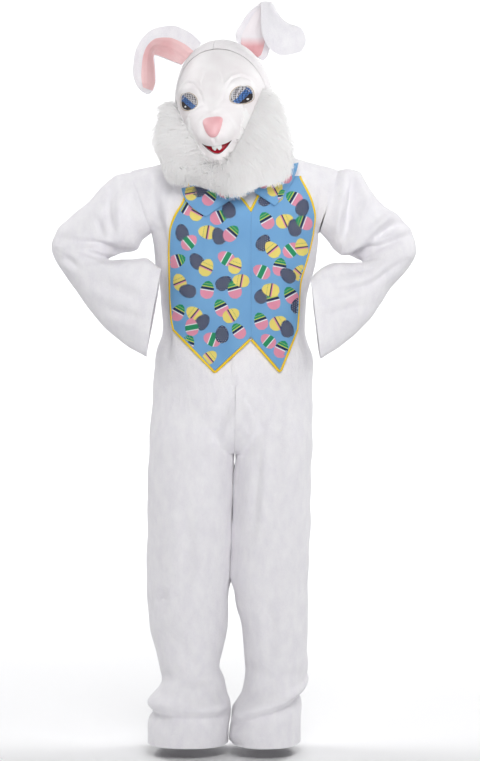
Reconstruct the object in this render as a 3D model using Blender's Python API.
"""Rabbit mascot costume: jumpsuit, printed vest front, bow tie and mask head, hollow as worn.

Metres, +Z up, the front faces -Y. Heights are above the floor until the parent empty moves
everything so that the origin lies where the shoulders carry the jumpsuit.
"""

import math

import bmesh
import bpy
import numpy as np
from mathutils import Vector
from mathutils.bvhtree import BVHTree

# Driving sizes
SHOULDER_HEIGHT = 1.46
SEAM_GAP = 0.0004
PLUSH = 0.003
COTTON = 0.0015
HEAD_CENTRE = (-0.032, 0.0, 1.620)
HEAD_YAW = math.radians(-12.0)
HEAD_ROLL = math.radians(-5.0)

# Jumpsuit sections from crotch to waist and legs: half of the ring on each side of the middle line
BODY_COLUMNS = ("height", "left", "middle", "right", "front", "back")
BODY = (
    (1.300, -0.209, 0.008, 0.202, 0.128, 0.118),
    (1.220, -0.200, 0.006, 0.193, 0.128, 0.112),
    (1.130, -0.186, 0.002, 0.170, 0.127, 0.108),
    (1.050, -0.184, 0.000, 0.167, 0.125, 0.112),
    (0.980, -0.204, -0.002, 0.186, 0.128, 0.122),
    (0.880, -0.208, -0.004, 0.185, 0.130, 0.130),
    (0.800, -0.214, -0.005, 0.184, 0.128, 0.128),
    (0.740, -0.218, -0.005, 0.183, 0.122, 0.122),
)
LEG_COLUMNS = ("height", "outer_left", "inner_left", "inner_right", "outer_right", "depth")
LEGS = (
    (0.740, -0.218, -0.0095, -0.0010, 0.183, 0.122),
    (0.640, -0.220, -0.0105, -0.0035, 0.181, 0.117),
    (0.460, -0.221, -0.0190, -0.0090, 0.178, 0.110),
    (0.380, -0.220, -0.0240, -0.0025, 0.175, 0.104),
    (0.320, -0.215, -0.0275, 0.0150, 0.175, 0.102),
    (0.255, -0.198, -0.0400, 0.0225, 0.173, 0.100),
    (0.220, -0.190, -0.0470, 0.0250, 0.176, 0.099),
    (0.180, -0.184, -0.0340, 0.0160, 0.175, 0.099),
    (0.140, -0.204, -0.0250, -0.0050, 0.167, 0.102),
    (0.110, -0.220, -0.0200, -0.0120, 0.161, 0.104),
    (0.075, -0.221, -0.0250, -0.0150, 0.158, 0.104),
    (0.038, -0.220, -0.0260, -0.0100, 0.156, 0.104),
)
HIP_HEIGHT = 0.90
CROTCH_HEIGHT = 0.745
UNDERARM_HEIGHT = 1.300
WAIST_BLEND_HEIGHT = 0.741
HEM_HEIGHT = 0.030
NECK_HALF = 0.100
NECK_HEIGHT = 1.488
NECK_START = {-1: 0.20, 1: 0.52}
ROUNDNESS = 2.35
# Break fold above each leg's hem: its heights at the inseam and at the side, right leg then left
FOLD = {-1: (0.112, 0.122), 1: (0.075, 0.176)}
FOLD_HEIGHT = 0.118
FOLD_REACH = 0.012
FOLD_HALF = 0.015
FOLD_SPREAD = 0.085

# Sleeves: each ring by its outer and inner point seen from the front, its depth place and half depth
SLEEVE_COLUMNS = ("outer_x", "outer_z", "inner_x", "inner_z", "mid_y", "half_depth")
SLEEVES = {
    "right": (
        (-0.2640, 1.4500, -0.2120, 1.3020, 0.000, 0.074),
        (-0.2990, 1.4430, -0.2380, 1.2820, 0.004, 0.078),
        (-0.3330, 1.4200, -0.2500, 1.2600, 0.008, 0.080),
        (-0.3700, 1.3810, -0.2750, 1.2500, 0.010, 0.080),
        (-0.4150, 1.3420, -0.3000, 1.2450, 0.009, 0.078),
        (-0.4510, 1.3040, -0.3200, 1.2410, 0.005, 0.074),
        (-0.4625, 1.2640, -0.3260, 1.2360, -0.002, 0.070),
        (-0.4530, 1.2280, -0.3210, 1.2310, -0.010, 0.067),
        (-0.4230, 1.1810, -0.3060, 1.2290, -0.020, 0.064),
        (-0.3800, 1.1210, -0.2850, 1.2300, -0.032, 0.062),
        (-0.3330, 1.0660, -0.2580, 1.2320, -0.046, 0.058),
        (-0.2780, 1.0210, -0.2260, 1.2320, -0.064, 0.054),
        (-0.2230, 0.9860, -0.1850, 1.2050, -0.090, 0.044),
    ),
    "left": (
        (0.2500, 1.4540, 0.2070, 1.3020, 0.000, 0.074),
        (0.2760, 1.4600, 0.2290, 1.2800, 0.004, 0.078),
        (0.3040, 1.4530, 0.2420, 1.2620, 0.008, 0.080),
        (0.3240, 1.4200, 0.2570, 1.2500, 0.010, 0.080),
        (0.3600, 1.3720, 0.2770, 1.2420, 0.009, 0.078),
        (0.4080, 1.3370, 0.2980, 1.2370, 0.005, 0.074),
        (0.4380, 1.2990, 0.3110, 1.2310, -0.001, 0.070),
        (0.4475, 1.2560, 0.3120, 1.2250, -0.010, 0.067),
        (0.4270, 1.2090, 0.3000, 1.2220, -0.020, 0.064),
        (0.3830, 1.1570, 0.2770, 1.2210, -0.032, 0.062),
        (0.3240, 1.0790, 0.2450, 1.2210, -0.046, 0.058),
        (0.2640, 1.0200, 0.2140, 1.2100, -0.066, 0.052),
        (0.2040, 0.9850, 0.1800, 1.1800, -0.092, 0.042),
    ),
}
SLEEVE_SIDES = 20

# Rows of a jumpsuit panel: turns round the armhole above the underarm, then heights down to the hem
SUIT_COLUMNS = 10
SUIT_TURNS = (1.0, 0.86, 0.72, 0.58, 0.44, 0.30, 0.15)
SUIT_HEIGHTS = (
    1.300, 1.255, 1.205, 1.155, 1.105, 1.055, 1.005, 0.955, 0.905, 0.865, 0.825, 0.795,
    0.773, 0.758, 0.749, 0.745, 0.715, 0.660, 0.590, 0.520, 0.455, 0.400, 0.350, 0.305,
    0.262, 0.228, 0.200, 0.178, 0.158, 0.142, 0.128, 0.116, 0.104, 0.092, 0.080, 0.066,
    0.050, HEM_HEIGHT,
)

# Vest front, seen from the front: side edge of each half and the depth below the neck point
VEST_CENTRE = 0.034
VEST_NECK_POINT = 1.337
VEST_NOTCH = 1.036
VEST_COLUMNS = ("height", "right_edge", "left_edge")
VEST_EDGE = (
    (1.425, -0.108, 0.152),
    (1.364, -0.128, 0.181),
    (1.330, -0.148, 0.188),
    (1.295, -0.160, 0.185),
    (1.240, -0.163, 0.173),
    (1.160, -0.162, 0.152),
    (1.080, -0.158, 0.148),
    (1.056, -0.153, 0.146),
)
VEST_POINTS = {"right": (-0.053, 0.954), "left": (0.104, 0.956)}
VEST_NECK = {"right": (-0.006, 1.390), "left": (0.062, 1.392)}
VEST_LIFT = 0.0045
BINDING_WIDTH = 0.0060
BINDING_THICK = 0.0040

# Mask head: an egg-shaped shell with soft forms on it, by direction from the head's centre in degrees
HEAD_HALF = 0.120
HEAD_DEPTH = 0.126
HEAD_ABOVE = 0.158
HEAD_BELOW = 0.225
FORM_COLUMNS = ("turn", "rise", "turn_spread", "rise_spread", "height")
HEAD_FORMS = (
    (0, -30, 17, 14, 0.038),
    (-11, -33, 8, 6, 0.009),
    (11, -33, 8, 6, 0.009),
    (0, -56, 14, 8, 0.024),
    (0, -6, 7, 12, 0.008),
    (-32, 12, 15, 7, 0.007),
    (32, 12, 15, 7, 0.007),
    (-34, -3, 10, 7, -0.006),
    (34, -3, 10, 7, -0.006),
)
FACE_WALL = 0.0025
HOOD_GAP = 0.15
HOOD_LIFT = 0.0006
HOOD_GRID = (14, 10)
HOOD_SEAM = 0.0030
HOOD_ENDS = {-1: 212.0, 1: -32.0}
CROWN_RISES = (58.4, 120.0, 221.0)
FACE_GRID = (32, 11)
FACE_OUTLINE = {"side": 76.0, "top": 58.0, "low": 57.5}
EYE_TURN = 34.0
EYE_RISE = -3.0
EYE_HALF = (13.5, 9.0)
MOUTH_RISE = -40.0
MOUTH_HALF = 14.0
MOUTH_DROP = 7.5
MOUTH_DIP = 1.2
NOSE_RISE = -24.0
NOSE_HALF = 7.6
TEETH_HALF = 4.6
TEETH_LOW_HALF = 4.4
TEETH_LENGTH = 4.6

# Beard: where its roots lie on the mask, in degrees, and where its fringe hangs
BEARD_COLUMNS = ("root_turn", "root_rise", "x", "y", "z")
BEARD = (
    (-62, 2, -0.158, -0.028, 1.600),
    (-50, -16, -0.182, -0.056, 1.548),
    (-38, -34, -0.186, -0.102, 1.486),
    (-26, -48, -0.170, -0.152, 1.434),
    (-11, -56, -0.112, -0.1815, 1.404),
    (8, -57, -0.038, -0.1905, 1.388),
    (24, -50, 0.030, -0.1890, 1.394),
    (36, -37, 0.086, -0.172, 1.420),
    (49, -18, 0.116, -0.136, 1.466),
    (57, -5, 0.110, -0.082, 1.520),
    (63, 4, 0.092, -0.040, 1.576),
)
BEARD_DEPTH = 0.018
BEARD_ROOT = 0.0020
BEARD_BOW = 0.020
BEARD_ROOT_THICK = 0.005
BEARD_GRID = (27, 8)

# Ears, row by row from the root: the two edges
EAR_COLUMNS = ("a_x", "a_y", "a_z", "b_x", "b_y", "b_z")
EARS = {
    "right": (
        (-0.088, 0.004, 1.774, -0.137, -0.020, 1.716),
        (-0.118, -0.004, 1.800, -0.158, -0.030, 1.722),
        (-0.160, -0.012, 1.815, -0.184, -0.036, 1.732),
        (-0.202, -0.018, 1.808, -0.203, -0.036, 1.738),
        (-0.236, -0.020, 1.782, -0.207, -0.034, 1.730),
        (-0.254, -0.022, 1.742, -0.204, -0.032, 1.705),
        (-0.258, -0.024, 1.698, -0.203, -0.030, 1.675),
        (-0.248, -0.024, 1.664, -0.210, -0.030, 1.650),
        (-0.230, -0.026, 1.645, -0.219, -0.028, 1.642),
    ),
    "left": (
        (0.000, 0.000, 1.772, 0.064, 0.002, 1.720),
        (-0.003, 0.006, 1.796, 0.080, 0.006, 1.756),
        (0.012, 0.008, 1.826, 0.086, 0.006, 1.790),
        (0.034, 0.000, 1.854, 0.090, -0.004, 1.826),
        (0.060, -0.020, 1.869, 0.096, -0.024, 1.846),
        (0.061, -0.036, 1.840, 0.108, -0.036, 1.828),
        (0.061, -0.044, 1.806, 0.128, -0.042, 1.812),
        (0.068, -0.046, 1.774, 0.158, -0.040, 1.802),
        (0.086, -0.044, 1.747, 0.170, -0.036, 1.772),
        (0.110, -0.041, 1.733, 0.160, -0.035, 1.746),
    ),
}
EAR_HOLLOW = 0.012
EAR_LINING = 0.0012
EAR_SEAT = {"right": 0.0038, "left": 0.0032}

# Bow tie: x and z of its middle and of each wing's inner top, inner low, outer top and outer low corner
BOW_CENTRE = (0.0196, 1.4025)
BOW_WINGS = {
    "right": ((0.0046, 1.424), (0.0001, 1.3770), (-0.135, 1.398), (-0.0747, 1.3276)),
    "left": ((0.0380, 1.430), (0.0425, 1.3850), (0.150, 1.4605), (0.092, 1.354)),
}
BOW_BACK = -0.1420
KNOT_BACK = -0.1338
KNOT_HALF_WIDTH = 0.0145
KNOT_HALF_HEIGHT = 0.021
KNOT_LEAN = 0.004
KNOT_EDGE = 0.008
KNOT_PUFF = 0.011
BOW_LIFT = 0.0105
BOW_EDGE = 0.004
BOW_PUFF = 0.013
PLACKET_LIFT = 0.0036
PLACKET_TOP = 1.350
PLACKET_END = 0.918
PLACKET_HALF = 0.0085
PLACKET_THICK = 0.0026


def table(columns, rows):
    """The rows of a table as one array for each named column."""
    values = np.array(rows, dtype=float)
    return {name: values[:, place] for place, name in enumerate(columns)}


def smooth_step(value):
    value = min(max(value, 0.0), 1.0)
    return value * value * (3.0 - 2.0 * value)


def smooth_curve(at, stations, values):
    """A smooth curve through a table's values that never swings past them."""
    order = np.argsort(stations)
    x = stations[order]
    y = values[order]
    at = min(max(at, x[0]), x[-1])
    steps = np.diff(y) / np.diff(x)
    before = np.concatenate([steps[:1], steps])
    after = np.concatenate([steps, steps[-1:]])
    both = before * after
    total = np.where(both > 0, before + after, 1.0)
    slopes = np.where(both > 0, 2 * both / total, 0.0)
    k = min(int(np.searchsorted(x, at, side="right")) - 1, len(x) - 2)
    span = x[k + 1] - x[k]
    t = (at - x[k]) / span
    return float(
        y[k] * (1 + 2 * t) * (1 - t) ** 2
        + span * slopes[k] * t * (1 - t) ** 2
        + y[k + 1] * t * t * (3 - 2 * t)
        + span * slopes[k + 1] * t * t * (t - 1)
    )


BODY_TABLE = table(BODY_COLUMNS, BODY)
LEG_TABLE = table(LEG_COLUMNS, LEGS)
SLEEVE_TABLES = {name: table(SLEEVE_COLUMNS, rows) for name, rows in SLEEVES.items()}
VEST_TABLE = table(VEST_COLUMNS, VEST_EDGE)


def body_value(name, height):
    return smooth_curve(height, BODY_TABLE["height"], BODY_TABLE[name])


def leg_value(name, height):
    return smooth_curve(height, LEG_TABLE["height"], LEG_TABLE[name])


def power(value, exponent):
    return math.copysign(abs(value) ** exponent, value)


def torso_point(side, face, u, height):
    """A point of the half ring above the crotch: u runs from the middle line to the side seam."""
    middle = body_value("middle", height)
    edge = body_value("left" if side < 0 else "right", height)
    depth = body_value("front" if face < 0 else "back", height)
    angle = u * math.pi / 2
    across = power(math.sin(angle), 2 / ROUNDNESS)
    along = power(math.cos(angle), 2 / ROUNDNESS)
    return np.array([middle + (edge - middle) * across, face * depth * along, height])


def leg_point(side, face, u, height):
    """A point of a leg's half ring: u runs from the inseam to the side seam."""
    inner = leg_value("inner_left" if side < 0 else "inner_right", height)
    outer = leg_value("outer_left" if side < 0 else "outer_right", height)
    depth = leg_value("depth", height)
    centre = (inner + outer) / 2
    half = (outer - inner) / 2
    angle = u * math.pi
    across = -power(math.cos(angle), 0.86)
    along = power(math.sin(angle), 0.92)
    t = (height - FOLD_HEIGHT) / FOLD_HALF
    push = FOLD_REACH * t * math.exp(0.5 - t * t / 2) * smooth_step(u * 4)
    grow = 1 + push / 0.1
    inseam, seam = FOLD[side]
    near = math.exp(-(((height - FOLD_HEIGHT) / FOLD_SPREAD) ** 2))
    shift = (inseam + (seam - inseam) * u - FOLD_HEIGHT) * near
    shift *= smooth_step((height - HEM_HEIGHT) / 0.03)
    return np.array([centre + half * across * grow, face * depth * along * grow, height + shift])


def armhole_point(side, face, turn):
    """A point of the armhole: turn runs from 0 under the arm to 1 at the shoulder tip."""
    rings = SLEEVE_TABLES["right" if side < 0 else "left"]
    top = np.array([rings["outer_x"][0], 0.0, rings["outer_z"][0]])
    low = np.array([rings["inner_x"][0], 0.0, rings["inner_z"][0]])
    angle = (turn - 0.5) * math.pi
    centre = (top + low) / 2
    out = np.array([0.0, face * rings["half_depth"][0], 0.0])
    return centre + (top - low) / 2 * math.sin(angle) + out * math.cos(angle)


def shoulder_point(side, face, u, turn):
    """A point above the underarm: turn runs from 0 at the underarm to 1 at the shoulder seam."""
    base = torso_point(side, face, u, UNDERARM_HEIGHT)
    tip = armhole_point(side, face, 1.0)
    middle = body_value("middle", UNDERARM_HEIGHT)
    neck = middle + side * NECK_HALF
    start = NECK_START[face]
    open_neck = smooth_step((turn - start) / (1.0 - start))
    seam_x = neck + (tip[0] - neck) * u
    seam_z = NECK_HEIGHT + (tip[2] - NECK_HEIGHT) * u
    rise = math.sin(turn * math.pi / 2) ** 0.9
    fall = math.cos(turn * math.pi / 2) ** 0.75
    inner = base[0] + (seam_x - base[0]) * open_neck
    outer = base[0] + (seam_x - base[0]) * smooth_step(turn)
    point = np.array([inner + (outer - inner) * u, base[1] * fall,
                      UNDERARM_HEIGHT + (seam_z - UNDERARM_HEIGHT) * rise])
    side_base = torso_point(side, face, 1.0, UNDERARM_HEIGHT)
    plain = np.array([side_base[0] + (tip[0] - side_base[0]) * smooth_step(turn), 0.0,
                      UNDERARM_HEIGHT + (tip[2] - UNDERARM_HEIGHT) * rise])
    edge = armhole_point(side, face, turn) - plain
    return point + edge * u ** 2.6


def suit_point(side, face, u, height):
    """A point of a jumpsuit panel below the underarm."""
    if height >= HIP_HEIGHT:
        return torso_point(side, face, u, height)
    if height <= CROTCH_HEIGHT:
        return leg_point(side, face, u, height)
    drop = (HIP_HEIGHT - height) / (HIP_HEIGHT - CROTCH_HEIGHT)
    sharp = 1.0 - math.sqrt(max(1.0 - drop ** 2.4, 0.0))
    blend = sharp + (smooth_step(drop) - sharp) * smooth_step(u * 2.5)
    upper = torso_point(side, face, u, max(height, WAIST_BLEND_HEIGHT))
    lower = leg_point(side, face, u, height)
    point = upper + (lower - upper) * blend
    point[2] = height
    return point


def suit_grid(side, face, across):
    """The outer points of one jumpsuit panel, row by row from the shoulder seam to the hem."""
    places = np.linspace(0.0, 1.0, across)
    rows = [[shoulder_point(side, face, u, turn) for u in places] for turn in SUIT_TURNS]
    rows += [[suit_point(side, face, u, height) for u in places] for height in SUIT_HEIGHTS]
    return np.array(rows)


def grid_normals(grid, closed):
    """Unit normals of a grid of points, by the cross product of its two directions."""
    down = np.gradient(grid, axis=0)
    if closed:
        along = (np.roll(grid, -1, axis=1) - np.roll(grid, 1, axis=1)) / 2
    else:
        along = np.gradient(grid, axis=1)
    normals = np.cross(along, down)
    lengths = np.linalg.norm(normals, axis=2, keepdims=True)
    return normals / np.maximum(lengths, 1e-9)


def wall_mesh(grid, thick, closed=False, normals=None):
    """Vertices and faces of a wall whose outer points are the grid and whose inside lies behind."""
    if normals is None:
        normals = grid_normals(grid, closed)
    thick = np.broadcast_to(np.asarray(thick, dtype=float), grid.shape[:2])[:, :, None]
    inner = grid - normals * thick
    return two_layers(grid, inner, closed)


def two_layers(outer, inner, closed=False):
    """Vertices and faces of a solid between two grids of the same size."""
    rows, columns = outer.shape[:2]
    points = np.concatenate([outer.reshape(-1, 3), inner.reshape(-1, 3)])
    back = rows * columns
    steps = columns if closed else columns - 1
    faces = []
    for r in range(rows - 1):
        for c in range(steps):
            n = (c + 1) % columns
            a, b = r * columns + c, r * columns + n
            d, e = (r + 1) * columns + c, (r + 1) * columns + n
            faces += [(a, b, e), (a, e, d)]
            faces += [(back + a, back + e, back + b), (back + a, back + d, back + e)]
    for c in range(steps):
        n = (c + 1) % columns
        low = (rows - 1) * columns
        faces.append((c, back + c, back + n, n))
        faces.append((low + c, low + n, back + low + n, back + low + c))
    if not closed:
        for r in range(rows - 1):
            a, d = r * columns, (r + 1) * columns
            faces.append((a, d, back + d, back + a))
            a, d = a + columns - 1, d + columns - 1
            faces.append((a, back + a, back + d, d))
    return points, faces


def material(name, colour, roughness):
    made = bpy.data.materials.get(name) or bpy.data.materials.new(name)
    made.use_nodes = True
    shader = made.node_tree.nodes["Principled BSDF"]
    shader.inputs["Base Color"].default_value = (*colour, 1.0)
    shader.inputs["Roughness"].default_value = roughness
    return made


def add_solid(name, points, faces, finish, parent):
    """One object from points and faces, its faces turned outward, under the parent."""
    mesh = bpy.data.meshes.new(name)
    mesh.from_pydata([tuple(p) for p in points], [], faces)
    form = bmesh.new()
    form.from_mesh(mesh)
    bmesh.ops.recalc_face_normals(form, faces=form.faces)
    form.to_mesh(mesh)
    form.free()
    mesh.materials.append(finish)
    mesh.shade_smooth()
    mesh.set_sharp_from_angle(angle=math.radians(50))
    thing = bpy.data.objects.new(name, mesh)
    bpy.context.scene.collection.objects.link(thing)
    thing.parent = parent
    return thing


def shrink_edges(grid, gap, sides):
    """Draws the named edges of a grid in by a gap, along the grid's own lines."""
    grid = grid.copy()

    def draw(edge, inner):
        step = inner - edge
        return edge + step * (gap / np.maximum(np.linalg.norm(step, axis=-1, keepdims=True), 1e-6))

    if "first_column" in sides:
        grid[:, 0] = draw(grid[:, 0], grid[:, 1])
    if "last_column" in sides:
        grid[:, -1] = draw(grid[:, -1], grid[:, -2])
    if "first_row" in sides:
        grid[0] = draw(grid[0], grid[1])
    if "last_row" in sides:
        grid[-1] = draw(grid[-1], grid[-2])
    return grid


def seam_normals(grid, hand):
    """A panel's normals, square to the seams at its edges so that two walls meet without crossing."""
    normals = grid_normals(grid, False)
    if hand > 0:
        normals = -normals
    heights = grid[:, 0, 2]
    for r, height in enumerate(heights):
        if height < UNDERARM_HEIGHT + 0.01:
            normals[r, -1, 1] = 0.0
        normals[r, 0, 1 if height < CROTCH_HEIGHT + 0.006 else 0] = 0.0
    normals[0, :, 1] = 0.0
    return normals / np.linalg.norm(normals, axis=2, keepdims=True)


def make_suit(parent):
    plush = material("white_plush", (0.86, 0.86, 0.90), 0.9)
    made = {}
    for side, hand in ((-1, "right"), (1, "left")):
        for face, part in ((-1, "front"), (1, "back")):
            grid = suit_grid(side, face, SUIT_COLUMNS)
            grid = shrink_edges(grid, SEAM_GAP, ("first_column", "last_column"))
            grid[0, :, 1] += face * SEAM_GAP
            normals = seam_normals(grid, side * face)
            if side * face > 0:
                grid = grid[:, ::-1]
                normals = normals[:, ::-1]
            points, faces = wall_mesh(grid, PLUSH, normals=normals)
            name = f"suit_{part}_{hand}"
            made[name] = (points, faces)
            add_solid(name, points, faces, plush, parent)
    return made


def sleeve_grid(hand, sides, rings_between=1):
    """The outer points of a sleeve, ring by ring from the armhole to the cuff."""
    rings = SLEEVE_TABLES[hand]
    count = len(rings["mid_y"])
    stations = np.arange(count, dtype=float)
    rows = []
    for place in np.linspace(0, count - 1, (count - 1) * rings_between + 1):
        value = {name: smooth_curve(place, stations, rings[name]) for name in SLEEVE_COLUMNS}
        outer = np.array([value["outer_x"], value["mid_y"], value["outer_z"]])
        inner = np.array([value["inner_x"], value["mid_y"], value["inner_z"]])
        centre = (outer + inner) / 2
        half = (outer - inner) / 2
        row = []
        for k in range(sides):
            angle = 2 * math.pi * k / sides
            depth = np.array([0.0, value["half_depth"] * power(math.sin(angle), 0.9), 0.0])
            row.append(centre + half * power(math.cos(angle), 0.9) - depth)
        rows.append(row)
    return np.array(rows)


def make_sleeves(parent):
    plush = material("white_plush", (0.86, 0.86, 0.90), 0.9)
    for hand in ("right", "left"):
        grid = sleeve_grid(hand, SLEEVE_SIDES)
        grid = shrink_edges(grid, 4 * SEAM_GAP, ("first_row",))
        if hand == "right":
            grid = grid[:, ::-1]
        points, faces = wall_mesh(grid, PLUSH, closed=True)
        add_solid(f"sleeve_{hand}", points, faces, plush, parent)


def turned(points):
    """Points of the head's own frame, tilted, turned and moved to where the head sits."""
    points = np.asarray(points, dtype=float)
    x, y, z = points[..., 0], points[..., 1], points[..., 2]
    cr, sr = math.cos(HEAD_ROLL), math.sin(HEAD_ROLL)
    x, z = x * cr + z * sr, z * cr - x * sr
    cy, sy = math.cos(HEAD_YAW), math.sin(HEAD_YAW)
    x, y = x * cy - y * sy, x * sy + y * cy
    return np.stack([x, y, z], axis=-1) + np.array(HEAD_CENTRE)


FORM_TABLE = table(FORM_COLUMNS, HEAD_FORMS)


def head_radius(direction):
    """Distance from the head's centre to the mask's surface along a unit direction."""
    below = HEAD_ABOVE if direction[2] > 0 else HEAD_BELOW
    squares = (direction[0] / HEAD_HALF) ** 2 + (direction[1] / HEAD_DEPTH) ** 2
    radius = 1 / math.sqrt(squares + (direction[2] / below) ** 2)
    turn = math.degrees(math.atan2(direction[0], -direction[1]))
    rise = math.degrees(math.asin(max(-1.0, min(1.0, direction[2]))))
    away = ((turn - FORM_TABLE["turn"]) / FORM_TABLE["turn_spread"]) ** 2
    away = away + ((rise - FORM_TABLE["rise"]) / FORM_TABLE["rise_spread"]) ** 2
    return radius + float(np.sum(FORM_TABLE["height"] * np.exp(-away / 2)))


def way(turn, rise):
    """Unit direction from a turn to the head's left and a rise, both in degrees."""
    t, r = math.radians(turn), math.radians(rise)
    return np.array([math.sin(t) * math.cos(r), -math.cos(t) * math.cos(r), math.sin(r)])


def on_head(direction, lift=0.0):
    direction = direction / np.linalg.norm(direction)
    return direction * (head_radius(direction) + lift)


def polar_way(spread, around):
    """Unit direction at an angle from the front, around the front axis (0 left, 90 up)."""
    s, a = math.radians(spread), math.radians(around)
    return np.array([math.sin(s) * math.cos(a), -math.cos(s), math.sin(s) * math.sin(a)])


def face_spread(around):
    """How far the moulded face reaches from its middle, in degrees."""
    upright = abs(math.sin(math.radians(around))) ** 1.5
    end = FACE_OUTLINE["top"] if math.sin(math.radians(around)) > 0 else FACE_OUTLINE["low"]
    return FACE_OUTLINE["side"] + (end - FACE_OUTLINE["side"]) * upright


def capped(grid_outer, grid_inner):
    """Vertices and faces of a closed solid from two polar grids, rim first, centre last."""
    rows, columns = grid_outer.shape[:2]
    points, faces = two_layers(grid_outer, grid_inner, closed=True)
    faces = [f for f in faces if not is_last_ring(f, rows, columns)]
    low = (rows - 1) * columns
    back = rows * columns
    middle = len(points)
    outer_mid = grid_outer[-1].mean(axis=0)
    inner_mid = grid_inner[-1].mean(axis=0)
    points = np.concatenate([points, [outer_mid, inner_mid]])
    for c in range(columns):
        n = (c + 1) % columns
        faces.append((low + c, low + n, middle))
        faces.append((back + low + n, back + low + c, middle + 1))
    return points, faces


def is_last_ring(face, rows, columns):
    """Whether a face is the wall that would close the last ring between the two layers."""
    low = (rows - 1) * columns
    back = rows * columns
    front = [k for k in face if low <= k < back]
    rear = [k for k in face if k >= back + low]
    return len(front) == 2 and len(rear) == 2


def cone_solid(outline, near, far):
    """A solid through the mask's wall: an outline of directions between two lifts."""
    rings = shares_of(outline, (1.0, 0.5))
    outer = np.array([[on_head(way(*spot), far) for spot in ring] for ring in rings])
    inner = np.array([[on_head(way(*spot), near) for spot in ring] for ring in rings])
    return capped(turned(outer), turned(inner))


def eye_outline(side, size=1.0, count=18):
    """Almond outline of an eye, as turns and rises in degrees."""
    spots = []
    for k in range(count):
        angle = 2 * math.pi * k / count
        across = EYE_HALF[0] * size * math.cos(angle)
        high = 1.15 if math.sin(angle) > 0 else 0.65
        up = EYE_HALF[1] * size * power(math.sin(angle), 0.8) * high
        spots.append((side * (EYE_TURN + across), EYE_RISE + up + 0.10 * across))
    return spots


def mouth_outline(size=1.0, count=9):
    """Outline of the open mouth: the upper lip, then the lower lip back."""
    half = MOUTH_HALF * size
    upper = []
    lower = []
    for t in np.linspace(-1, 1, count):
        upper.append((t * half, MOUTH_RISE - MOUTH_DIP * (1 - t * t)))
        lower.append((t * half, MOUTH_RISE - MOUTH_DROP * size * (1 - t * t)))
    return upper + lower[-2:0:-1]


def cut(thing, points, faces, name, parent):
    """Cuts a solid away from an object with a Boolean whose cutter stays hidden."""
    cutter = add_solid(name, points, faces, thing.data.materials[0], parent)
    cutter.hide_render = True
    cutter.display_type = "WIRE"
    made = thing.modifiers.new(name, "BOOLEAN")
    made.operation = "DIFFERENCE"
    made.object = cutter


def face_grid(columns, rows):
    """The moulded face's outer points in the head's own frame, rim first, middle last."""
    grid = []
    for share in np.linspace(1.0, 0.06, rows):
        ring = [k * 360 / columns for k in range(columns)]
        grid.append([on_head(polar_way(face_spread(a) * share, a)) for a in ring])
    return np.array(grid)


def face_tree():
    """A search tree over the face's outer facets, in the head's own frame."""
    outer = face_grid(*FACE_GRID)
    points, faces = capped(outer, outer * 0.9)
    front = outer.shape[0] * outer.shape[1]
    middle = len(points) - 2
    kept = [f for f in faces if all(k < front or k == middle for k in f)]
    return BVHTree.FromPolygons([Vector(p) for p in points], kept)


def make_face(parent):
    vinyl = material("face_vinyl", (0.88, 0.87, 0.88), 0.55)
    outer = face_grid(*FACE_GRID)
    inner = outer * (1 - FACE_WALL / np.linalg.norm(outer, axis=2, keepdims=True))
    points, faces = capped(turned(outer), turned(inner))
    face = add_solid("mask_face", points, faces, vinyl, parent)
    for side, hand in ((-1, "right"), (1, "left")):
        cut(face, *cone_solid(eye_outline(side), -0.02, 0.02), f"eye_cutter_{hand}", parent)
    cut(face, *cone_solid(mouth_outline(), -0.02, 0.02), "mouth_cutter", parent)


def patch(tree, outline_rings, front, back):
    """A closed solid on the mask from rings of directions and their front and back lifts."""

    def lifted(lifts):
        rings = []
        for ring, lift in zip(outline_rings, lifts):
            row = []
            for spot in ring:
                direction = way(*spot)
                hit = tree.ray_cast(Vector((0.0, 0.0, 0.0)), Vector(direction))
                row.append(direction * (hit[3] + lift))
            rings.append(row)
        return turned(np.array(rings))

    return capped(lifted(front), lifted(back))


def shares_of(outline, shares):
    middle = np.mean(np.array(outline), axis=0)
    return [[tuple(middle + (np.array(spot) - middle) * share) for spot in outline] for share in shares]


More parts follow.
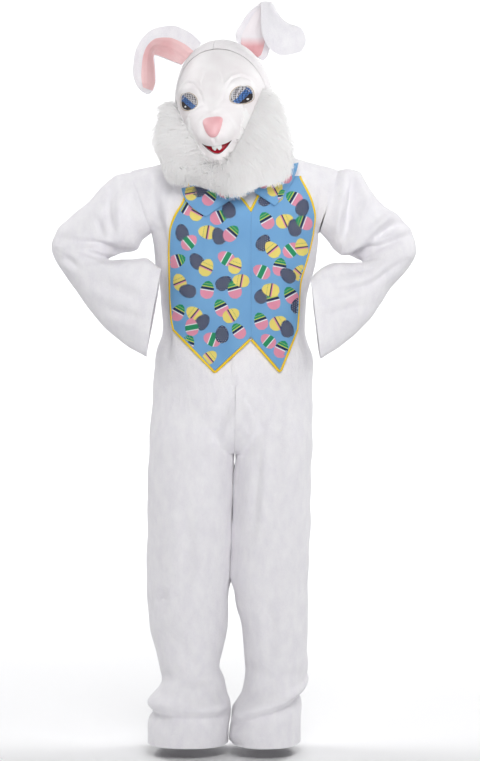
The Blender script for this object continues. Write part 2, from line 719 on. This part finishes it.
def make_face_details(parent):
    tree = face_tree()
    mesh = material("eye_mesh", (0.20, 0.30, 0.42), 0.6)
    shares = (1.0, 0.75, 0.4)
    for side, hand in ((-1, "right"), (1, "left")):
        rings = shares_of(eye_outline(side, 0.975), shares)
        points, faces = patch(tree, rings, (-0.0006, 0.0004, 0.0010), (-0.0018, -0.0008, -0.0002))
        add_solid(f"eye_mesh_{hand}", points, faces, mesh, parent)

    pink = material("nose_vinyl", (0.90, 0.55, 0.58), 0.5)
    outline = []
    for k in range(20):
        angle = 2 * math.pi * k / 20
        wide = 1.0 + 0.22 * math.sin(angle)
        up = math.sin(angle)
        high = 0.72 if up > 0 else 1.05
        outline.append((NOSE_HALF * wide * math.cos(angle), NOSE_RISE + NOSE_HALF * high * up))
    rings = shares_of(outline, (1.0, 0.85, 0.6, 0.3))
    points, faces = patch(tree, rings, (0.0040, 0.0080, 0.0110, 0.0125), (0.0014, 0.0024, 0.0026, 0.0026))
    add_solid("nose", points, faces, pink, parent)

    red = material("mouth_red", (0.65, 0.03, 0.08), 0.4)
    rings = shares_of(mouth_outline(1.35), (1.0, 0.85, 0.5, 0.25))
    front = (-0.0056, -0.0145, -0.0175, -0.0190)
    points, faces = patch(tree, rings, front, tuple(lift - 0.0015 for lift in front))
    add_solid("mouth_lining", points, faces, red, parent)

    white = material("tooth_vinyl", (0.92, 0.92, 0.90), 0.35)
    outline = []
    for t in np.linspace(-1, 1, 7):
        outline.append((TEETH_HALF * t, MOUTH_RISE + 0.2 - MOUTH_DIP))
    for t in np.linspace(1, -1, 7):
        low = MOUTH_RISE - TEETH_LENGTH + 0.6 * math.cos(2 * math.pi * abs(t))
        outline.append((TEETH_LOW_HALF * t, low))
    rings = shares_of(outline, (1.0, 0.5))
    points, faces = patch(tree, rings, (-0.0032, -0.0032), (-0.0048, -0.0048))
    add_solid("teeth", points, faces, white, parent)


def seam_line(side, start, end, count):
    """Directions along the middle seam of the hood, by their rises over the crown in degrees."""
    rises = np.radians(np.linspace(start, end, count))
    return [np.array([side * HOOD_SEAM, -math.cos(r), math.sin(r)]) for r in rises]


def make_hood(parent):
    plush = material("white_plush", (0.86, 0.86, 0.90), 0.9)
    rows, columns = HOOD_GRID
    front, top, nape_end = CROWN_RISES
    for side, hand in ((-1, "right"), (1, "left")):
        places = np.linspace(90.0, HOOD_ENDS[side], rows)
        edge = [polar_way(face_spread(a) + HOOD_GAP, a) for a in places]
        crown = seam_line(side, front, top, columns)
        nape = seam_line(side, top, nape_end, rows)
        low = [slerp(edge[-1], nape[-1], t) for t in np.linspace(0, 1, columns)]
        grid = np.zeros((rows, columns, 3))
        for r, v in enumerate(np.linspace(0, 1, rows)):
            for c, u in enumerate(np.linspace(0, 1, columns)):
                sides = edge[r] * (1 - u) + nape[r] * u
                ends = crown[c] * (1 - v) + low[c] * v
                upper = edge[0] * (1 - u) + nape[0] * u
                lower = edge[-1] * (1 - u) + nape[-1] * u
                corners = upper * (1 - v) + lower * v
                grid[r, c] = on_head(sides + ends - corners, HOOD_LIFT)
        grid = turned(grid)
        if side < 0:
            grid = grid[:, ::-1]
        points, faces = wall_mesh(grid, PLUSH)
        add_solid(f"hood_{hand}", points, faces, plush, parent)


def slerp(a, b, t):
    a = a / np.linalg.norm(a)
    b = b / np.linalg.norm(b)
    angle = math.acos(max(-1.0, min(1.0, float(a @ b))))
    if angle < 1e-6:
        return a
    return (math.sin((1 - t) * angle) * a + math.sin(t * angle) * b) / math.sin(angle)


def beard_grid(stations_count, steps):
    """Back points of the beard, a row for each lock line from the mask's skin to the fringe."""
    rows = table(BEARD_COLUMNS, BEARD)
    count = len(rows["x"])
    stations = np.arange(count, dtype=float)
    grid = []
    for place in np.linspace(0, count - 1, stations_count):
        value = {name: smooth_curve(place, stations, rows[name]) for name in BEARD_COLUMNS}
        direction = way(value["root_turn"], value["root_rise"])
        root = turned(on_head(direction, BEARD_ROOT))
        out = turned(direction) - np.array(HEAD_CENTRE)
        fringe = np.array([value["x"], value["y"], value["z"]])
        near = root + out * BEARD_BOW
        far = fringe + (root - fringe) * 0.45 + out * BEARD_BOW
        v = np.linspace(0, 1, steps)[:, None]
        first = root * (1 - v) ** 3 + near * 3 * v * (1 - v) ** 2
        grid.append(first + far * 3 * v * v * (1 - v) + fringe * v ** 3)
    return np.array(grid)


def make_beard(parent):
    fur = material("long_fur", (0.90, 0.90, 0.91), 0.85)
    rows, steps = BEARD_GRID
    back = beard_grid(rows, steps)
    normals = grid_normals(back, False)
    if normals[rows // 2, :, 1].mean() > 0:
        normals = -normals
    swell = np.sin(np.linspace(0, math.pi, rows)) ** 0.5
    along = np.sin(np.linspace(0.08, 0.94, steps) * math.pi)
    thick = BEARD_ROOT_THICK + BEARD_DEPTH * swell[:, None] * along[None, :]
    front = back + normals * thick[:, :, None]
    add_solid("beard", *two_layers(front, back), fur, parent)


def ear_grid(hand, across):
    """The front points of an ear: rows from the root to the tip, its middle hollowed."""
    rows = table(EAR_COLUMNS, EARS[hand])
    count = len(rows["a_x"])
    stations = np.arange(count, dtype=float)
    ends = []
    for place in np.linspace(0, count - 1, 2 * count - 1):
        value = {name: smooth_curve(place, stations, rows[name]) for name in EAR_COLUMNS}
        ends.append((np.array([value["a_x"], value["a_y"], value["a_z"]]),
                     np.array([value["b_x"], value["b_y"], value["b_z"]])))
    flat = np.array([[a + (b - a) * t for t in np.linspace(0, 1, across)] for a, b in ends])
    normals = grid_normals(flat, False)
    bend = np.sin(np.linspace(0, 1, across) * math.pi) * EAR_HOLLOW
    near_tip = np.clip((len(ends) - 1 - np.arange(len(ends))) / 3.0, 0, 1)
    return flat, normals, bend[None, :, None] * near_tip[:, None, None]


def clear_of_head(rows, seat):
    """How far each row of an ear has to rise so that it stands on the hood and not in it."""
    undo = np.linalg.inv(np.stack([turned(v) - np.array(HEAD_CENTRE) for v in np.eye(3)], axis=1))
    rises = np.zeros(len(rows))
    for r, row in enumerate(rows):
        while True:
            own = (row + np.array([0, 0, rises[r]]) - np.array(HEAD_CENTRE)) @ undo.T
            inside = [np.linalg.norm(p) < head_radius(p / np.linalg.norm(p)) + seat for p in own]
            if not any(inside):
                break
            rises[r] += 0.0005
    return rises


def make_ears(parent):
    plush = material("white_plush", (0.86, 0.86, 0.90), 0.9)
    pink = material("ear_lining", (0.88, 0.58, 0.62), 0.45)
    for hand in ("right", "left"):
        flat, normals, bend = ear_grid(hand, 7)
        if normals[0, :, 1].mean() > 0:
            normals = -normals
        front = flat - normals * bend
        back = front - normals * PLUSH
        rise = clear_of_head(np.concatenate([front, back], axis=1), EAR_SEAT[hand])
        front[:, :, 2] += rise[:, None]
        back[:, :, 2] += rise[:, None]
        add_solid(f"ear_{hand}", *two_layers(front, back), plush, parent)
        first, last = (2, 7) if hand == "right" else (1, 6)
        stop = len(front) - 2 if hand == "right" else len(front) - 3
        lining = front[:stop, first:last] + normals[:stop, first:last] * (SEAM_GAP + EAR_LINING)
        under = front[:stop, first:last] + normals[:stop, first:last] * SEAM_GAP
        add_solid(f"ear_lining_{hand}", *two_layers(lining, under), pink, parent)


def suit_tree(made):
    """A search tree over the faces of both front panels."""
    points = []
    faces = []
    for name in ("suit_front_right", "suit_front_left"):
        panel_points, panel_faces = made[name]
        faces += [tuple(k + len(points) for k in face) for face in panel_faces]
        points += [Vector(p) for p in panel_points]
    return BVHTree.FromPolygons(points, faces)


def in_front(tree, x, z, lift):
    """The point a lift in front of the jumpsuit's front, at a place seen from the front."""
    nearest = 0.0
    for step in (-0.0015, 0.0015):
        hit = tree.ray_cast(Vector((x + step, -1.0, z)), Vector((0.0, 1.0, 0.0)))
        if hit[0] is not None:
            nearest = min(nearest, hit[0].y)
    return np.array([x, nearest - lift, z])


def vest_grid(tree, hand):
    """Outer points of one vest half, rows from the shoulder down, columns from the middle out."""
    side = -1 if hand == "right" else 1
    tip = VEST_POINTS[hand]
    edge = "right_edge" if hand == "right" else "left_edge"
    bottom_edge = VEST_TABLE[edge][-1]
    tip_share = (tip[0] - VEST_CENTRE) / (bottom_edge - VEST_CENTRE)
    shares = [0.0, tip_share * 0.33, tip_share * 0.67, tip_share]
    shares += [tip_share + (1 - tip_share) * k / 3 for k in (1, 2, 3)]
    neck_x, neck_z = VEST_NECK[hand]
    inner = [(neck_x + side * 0.040, 1.424), (neck_x + side * 0.020, 1.408), (neck_x, neck_z)]
    inner += [((neck_x + VEST_CENTRE) / 2, (neck_z + VEST_NECK_POINT) / 2), (VEST_CENTRE, VEST_NECK_POINT)]
    inner += [(VEST_CENTRE, z) for z in np.linspace(VEST_NECK_POINT, VEST_NOTCH, 10)[1:]]
    outer_z = np.linspace(1.430, VEST_TABLE["height"][-1], len(inner))
    last = VEST_NOTCH
    rows = []
    for r, (x, z) in enumerate(inner):
        share = r / (len(inner) - 1)
        drop_share = max((share - 0.55) / 0.45, 0.0) ** 1.4
        outer_x = smooth_curve(outer_z[r], VEST_TABLE["height"], VEST_TABLE[edge])
        row = []
        for c in shares:
            peak = min(c / tip_share, (1 - c) / (1 - tip_share))
            line = last + (VEST_TABLE["height"][-1] - last) * tip_share
            drop = (line - tip[1]) * peak * drop_share
            px = x + (outer_x - x) * c
            pz = z + (outer_z[r] - z) * c - drop
            middle_lift = 0.004 * math.exp(-(((px + 0.002) / 0.03) ** 2))
            row.append(in_front(tree, px, pz, VEST_LIFT + middle_lift))
        rows.append(row)
    grid = np.array(rows)
    grid[:, 0, 0] += side * SEAM_GAP / 2
    return grid


def strip_along(path, outward, normals):
    """A flat-oval binding that runs along a path, on its outward side."""
    sides = 6
    rings = []
    for k, spot in enumerate(path):
        out = outward[k] / np.linalg.norm(outward[k])
        centre = spot + out * (BINDING_WIDTH / 2 + SEAM_GAP) - normals[k] * COTTON / 2
        ring = []
        for c in range(sides):
            angle = 2 * math.pi * (c + 0.5) / sides
            ring.append(centre + out * BINDING_WIDTH / 2 * 1.12 * math.cos(angle)
                        + normals[k] * BINDING_THICK / 2 * math.sin(angle))
        rings.append(ring)
    grid = np.array(rings)
    points = grid.reshape(-1, 3)
    faces = []
    for r in range(len(rings) - 1):
        for c in range(sides):
            n = (c + 1) % sides
            faces.append((r * sides + c, r * sides + n, (r + 1) * sides + n, (r + 1) * sides + c))
    faces.append(tuple(range(sides)))
    faces.append(tuple(len(points) - sides + c for c in range(sides)))
    return points, faces


def path_frames(path, normals):
    """Outward directions of a path: across it and in the cloth's plane, longer at corners."""
    tangents = np.gradient(path, axis=0)
    tangents /= np.linalg.norm(tangents, axis=1, keepdims=True)
    out = np.cross(tangents, normals)
    return out / np.linalg.norm(out, axis=1, keepdims=True)


def make_vest(parent, tree):
    blue = material("printed_cotton", (0.16, 0.39, 0.66), 0.65)
    yellow = material("yellow_binding", (0.95, 0.68, 0.05), 0.5)
    necks = {}
    for side, hand in ((-1, "right"), (1, "left")):
        grid = vest_grid(tree, hand)
        ordered = grid if side > 0 else grid[:, ::-1]
        points, faces = wall_mesh(ordered, COTTON)
        add_solid(f"vest_{hand}", points, faces, blue, parent)
        normals = grid_normals(ordered, False)
        if side < 0:
            normals = normals[:, ::-1]
        path = np.concatenate([grid[:, -1], grid[-1, -2:0:-1]])
        facing = np.concatenate([normals[:, -1], normals[-1, -2:0:-1]])
        out = path_frames(path, facing)
        if out[0][0] * side < 0:
            out = -out
        add_solid(f"binding_{hand}", *strip_along(path, out, facing), yellow, parent)
        necks[hand] = (grid[:5, 0], normals[:5, 0])
    path = np.concatenate([necks["right"][0][:4], necks["left"][0][4:5], necks["left"][0][3::-1]])
    facing = np.concatenate([necks["right"][1][:4], necks["left"][1][4:5], necks["left"][1][3::-1]])
    path[4][0] = VEST_CENTRE
    out = path_frames(path, facing)
    if out[4][2] < 0:
        out = -out
    add_solid("binding_neck", *strip_along(path, out, facing), yellow, parent)


def make_bow(parent, tree):
    blue = material("printed_cotton", (0.16, 0.39, 0.66), 0.65)
    for hand in ("right", "left"):
        top_in, low_in, top_out, low_out = [np.array(c) for c in BOW_WINGS[hand]]
        front = []
        back = []
        for v in np.linspace(0, 1, 7):
            front_row = []
            back_row = []
            for u in np.linspace(0, 1, 8):
                spot = (top_in * (1 - v) + low_in * v) * (1 - u) + (top_out * (1 - v) + low_out * v) * u
                spot = spot + (spot - np.array(BOW_CENTRE)) * 0.10 * u * math.sin(math.pi * v)
                rear = min(BOW_BACK + 0.026 * u ** 1.5, in_front(tree, spot[0], spot[1], BOW_LIFT)[1])
                pleat = 0.0022 * math.cos(5 * math.pi * v) * (1 - u) ** 2
                puff = BOW_PUFF * math.sin(math.pi * v) ** 0.7 * math.sin(math.pi * (0.12 + 0.84 * u))
                back_row.append([spot[0], rear, spot[1]])
                front_row.append([spot[0], rear - BOW_EDGE - puff - pleat, spot[1]])
            front.append(front_row)
            back.append(back_row)
        add_solid(f"bow_{hand}", *two_layers(np.array(front), np.array(back)), blue, parent)
    knot_front = []
    knot_back = []
    for v in np.linspace(-1, 1, 7):
        front_row = []
        back_row = []
        for h in np.linspace(-1, 1, 6):
            x = BOW_CENTRE[0] + KNOT_HALF_WIDTH * h - KNOT_LEAN * v
            z = BOW_CENTRE[1] - KNOT_HALF_HEIGHT * v
            front_row.append([x, BOW_BACK - KNOT_EDGE - KNOT_PUFF * math.sqrt(1 - 0.8 * h * h), z])
            back_row.append([x, KNOT_BACK, z])
        knot_front.append(front_row)
        knot_back.append(back_row)
    add_solid("bow_knot", *two_layers(np.array(knot_front), np.array(knot_back)), blue, parent)


def make_placket(parent, tree):
    plush = material("white_plush", (0.86, 0.86, 0.90), 0.9)
    rows = []
    for z in np.linspace(PLACKET_TOP, PLACKET_END, 17):
        middle = body_value("middle", min(z, UNDERARM_HEIGHT))
        places = (-PLACKET_HALF, 0.0, PLACKET_HALF)
        rows.append([in_front(tree, middle + x, z, PLACKET_LIFT) for x in places])
    outer = np.array(rows)
    inner = outer + np.array([0.0, PLACKET_THICK, 0.0])
    add_solid("placket", *two_layers(outer, inner), plush, parent)


def main():
    for thing in list(bpy.data.objects):
        bpy.data.objects.remove(thing, do_unlink=True)
    mount = bpy.data.objects.new("shoulder_mount", None)
    mount.location = (0.0, 0.0, -SHOULDER_HEIGHT)
    bpy.context.scene.collection.objects.link(mount)
    made = make_suit(mount)
    make_sleeves(mount)
    tree = suit_tree(made)
    make_placket(mount, tree)
    make_vest(mount, tree)
    make_bow(mount, tree)
    make_face(mount)
    make_face_details(mount)
    make_hood(mount)
    make_beard(mount)
    make_ears(mount)


main()
